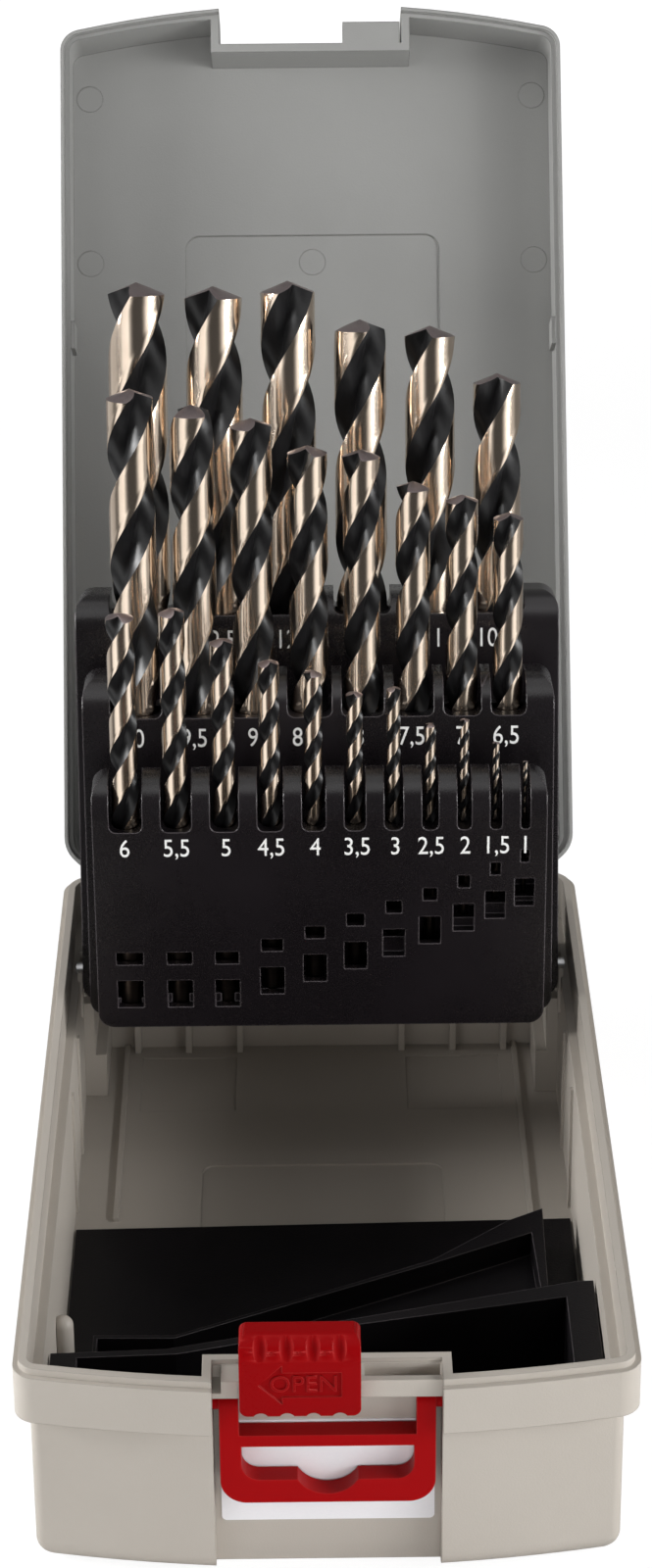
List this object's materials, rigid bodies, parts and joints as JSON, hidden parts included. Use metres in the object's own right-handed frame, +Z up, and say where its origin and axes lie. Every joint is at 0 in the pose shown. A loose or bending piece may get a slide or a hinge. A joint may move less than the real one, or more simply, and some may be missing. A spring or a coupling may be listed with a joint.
{
  "type": "drill bit case",
  "caption": "Hinged plastic case that raises three racks of twist drills as its lid opens, with a sliding front latch and a swinging hanger.",
  "frame": {"origin": "middle of the case's flat underside", "axes": "+X to the right seen from the front, +Y from the front with the latch to the rear with the hinge, +Z up; the lid is stored open"},
  "size_m": [0.1168, 0.318, 0.2193],
  "materials": {
    "case_grey": "fine-grained warm light grey polypropylene",
    "lid_grey": "fine-grained cool grey polypropylene",
    "rack_black": "satin black plastic",
    "stop_black": "matt black plastic",
    "latch_red": "semi-gloss red plastic",
    "label_white": "smooth white label",
    "drill_steel": "ground bright lands and black flutes",
    "pin_steel": "plain steel"
  },
  "bodies": {
    "base": {"base_tray": "case_grey", "label_plate": "label_white", "bit_stop": "stop_black", "hinge_pin_left": "pin_steel", "hinge_pin_right": "pin_steel", "rack_pin_left": "case_grey", "rack_pin_right": "case_grey"},
    "lid": {"lid": "lid_grey"},
    "rack_small": {"rack_small": "rack_black"},
    "rack_medium": {"rack_medium": "rack_black"},
    "rack_large": {"rack_large": "rack_black"},
    "latch": {"latch_slider": "latch_red"},
    "hanger": {"hanger_bail": "latch_red"},
    "drill_06_0": {"drill_06_0": "drill_steel"},
    "drill_05_5": {"drill_05_5": "drill_steel"},
    "drill_05_0": {"drill_05_0": "drill_steel"},
    "drill_04_5": {"drill_04_5": "drill_steel"},
    "drill_04_0": {"drill_04_0": "drill_steel"},
    "drill_03_5": {"drill_03_5": "drill_steel"},
    "drill_03_0": {"drill_03_0": "drill_steel"},
    "drill_02_5": {"drill_02_5": "drill_steel"},
    "drill_02_0": {"drill_02_0": "drill_steel"},
    "drill_01_5": {"drill_01_5": "drill_steel"},
    "drill_01_0": {"drill_01_0": "drill_steel"},
    "drill_10_0": {"drill_10_0": "drill_steel"},
    "drill_09_5": {"drill_09_5": "drill_steel"},
    "drill_09_0": {"drill_09_0": "drill_steel"},
    "drill_08_5": {"drill_08_5": "drill_steel"},
    "drill_08_0": {"drill_08_0": "drill_steel"},
    "drill_07_5": {"drill_07_5": "drill_steel"},
    "drill_07_0": {"drill_07_0": "drill_steel"},
    "drill_06_5": {"drill_06_5": "drill_steel"},
    "drill_13_0": {"drill_13_0": "drill_steel"},
    "drill_12_5": {"drill_12_5": "drill_steel"},
    "drill_12_0": {"drill_12_0": "drill_steel"},
    "drill_11_5": {"drill_11_5": "drill_steel"},
    "drill_11_0": {"drill_11_0": "drill_steel"},
    "drill_10_5": {"drill_10_5": "drill_steel"}
  },
  "joints": [
    {"name": "lid_hinge", "type": "hinge", "parent": "base", "child": "lid", "pos_m": [0, 0.09805, 0.04635], "axis": [1, 0, 0], "range_deg": [0, 121.3]},
    {"name": "rack_small_pivot", "type": "hinge", "parent": "base", "child": "rack_small", "pos_m": [0, 0.0692, 0.036], "axis": [1, 0, 0], "range_deg": [0, 90]},
    {"name": "rack_medium_pivot", "type": "hinge", "parent": "base", "child": "rack_medium", "pos_m": [0, 0.0692, 0.036], "axis": [1, 0, 0], "range_deg": [0, 98]},
    {"name": "rack_large_pivot", "type": "hinge", "parent": "base", "child": "rack_large", "pos_m": [0, 0.0692, 0.036], "axis": [1, 0, 0], "range_deg": [0, 105]},
    {"name": "latch_slide", "type": "slide", "parent": "base", "child": "latch", "axis": [1, 0, 0], "range_m": [0, 0.01]},
    {"name": "hanger_swing", "type": "hinge", "parent": "base", "child": "hanger", "pos_m": [0, -0.09805, 0.0387], "axis": [-1, 0, 0], "range_deg": [0, 90]},
    {"name": "drill_06_0_draw", "type": "slide", "parent": "rack_small", "child": "drill_06_0", "axis": [0, 0, -1], "range_m": [-0.057, 0]},
    {"name": "drill_05_5_draw", "type": "slide", "parent": "rack_small", "child": "drill_05_5", "axis": [0, 0, -1], "range_m": [-0.056, 0]},
    {"name": "drill_05_0_draw", "type": "slide", "parent": "rack_small", "child": "drill_05_0", "axis": [0, 0, -1], "range_m": [-0.056, 0]},
    {"name": "drill_04_5_draw", "type": "slide", "parent": "rack_small", "child": "drill_04_5", "axis": [0, 0, -1], "range_m": [-0.055, 0]},
    {"name": "drill_04_0_draw", "type": "slide", "parent": "rack_small", "child": "drill_04_0", "axis": [0, 0, -1], "range_m": [-0.0525, 0]},
    {"name": "drill_03_5_draw", "type": "slide", "parent": "rack_small", "child": "drill_03_5", "axis": [0, 0, -1], "range_m": [-0.0525, 0]},
    {"name": "drill_03_0_draw", "type": "slide", "parent": "rack_small", "child": "drill_03_0", "axis": [0, 0, -1], "range_m": [-0.0425, 0]},
    {"name": "drill_02_5_draw", "type": "slide", "parent": "rack_small", "child": "drill_02_5", "axis": [0, 0, -1], "range_m": [-0.047, 0]},
    {"name": "drill_02_0_draw", "type": "slide", "parent": "rack_small", "child": "drill_02_0", "axis": [0, 0, -1], "range_m": [-0.038, 0]},
    {"name": "drill_01_5_draw", "type": "slide", "parent": "rack_small", "child": "drill_01_5", "axis": [0, 0, -1], "range_m": [-0.0345, 0]},
    {"name": "drill_01_0_draw", "type": "slide", "parent": "rack_small", "child": "drill_01_0", "axis": [0, 0, -1], "range_m": [-0.033, 0]},
    {"name": "drill_10_0_draw", "type": "slide", "parent": "rack_medium", "child": "drill_10_0", "axis": [0, -0.1392, -0.9903], "range_m": [-0.072, 0]},
    {"name": "drill_09_5_draw", "type": "slide", "parent": "rack_medium", "child": "drill_09_5", "axis": [0, -0.1392, -0.9903], "range_m": [-0.0675, 0]},
    {"name": "drill_09_0_draw", "type": "slide", "parent": "rack_medium", "child": "drill_09_0", "axis": [0, -0.1392, -0.9903], "range_m": [-0.0705, 0]},
    {"name": "drill_08_5_draw", "type": "slide", "parent": "rack_medium", "child": "drill_08_5", "axis": [0, -0.1392, -0.9903], "range_m": [-0.0685, 0]},
    {"name": "drill_08_0_draw", "type": "slide", "parent": "rack_medium", "child": "drill_08_0", "axis": [0, -0.1392, -0.9903], "range_m": [-0.0695, 0]},
    {"name": "drill_07_5_draw", "type": "slide", "parent": "rack_medium", "child": "drill_07_5", "axis": [0, -0.1392, -0.9903], "range_m": [-0.0685, 0]},
    {"name": "drill_07_0_draw", "type": "slide", "parent": "rack_medium", "child": "drill_07_0", "axis": [0, -0.1392, -0.9903], "range_m": [-0.0715, 0]},
    {"name": "drill_06_5_draw", "type": "slide", "parent": "rack_medium", "child": "drill_06_5", "axis": [0, -0.1392, -0.9903], "range_m": [-0.0675, 0]},
    {"name": "drill_13_0_draw", "type": "slide", "parent": "rack_large", "child": "drill_13_0", "axis": [0, -0.2588, -0.9659], "range_m": [-0.0851, 0]},
    {"name": "drill_12_5_draw", "type": "slide", "parent": "rack_large", "child": "drill_12_5", "axis": [0, -0.2588, -0.9659], "range_m": [-0.0861, 0]},
    {"name": "drill_12_0_draw", "type": "slide", "parent": "rack_large", "child": "drill_12_0", "axis": [0, -0.2588, -0.9659], "range_m": [-0.0851, 0]},
    {"name": "drill_11_5_draw", "type": "slide", "parent": "rack_large", "child": "drill_11_5", "axis": [0, -0.2588, -0.9659], "range_m": [-0.0846, 0]},
    {"name": "drill_11_0_draw", "type": "slide", "parent": "rack_large", "child": "drill_11_0", "axis": [0, -0.2588, -0.9659], "range_m": [-0.0861, 0]},
    {"name": "drill_10_5_draw", "type": "slide", "parent": "rack_large", "child": "drill_10_5", "axis": [0, -0.2588, -0.9659], "range_m": [-0.0876, 0]}
  ],
  "couplings": [
    {"joint": "rack_small_pivot", "follows": "lid_hinge", "ratio": 0.74196},
    {"joint": "rack_medium_pivot", "follows": "lid_hinge", "ratio": 0.80791},
    {"joint": "rack_large_pivot", "follows": "lid_hinge", "ratio": 0.86562}
  ]
}
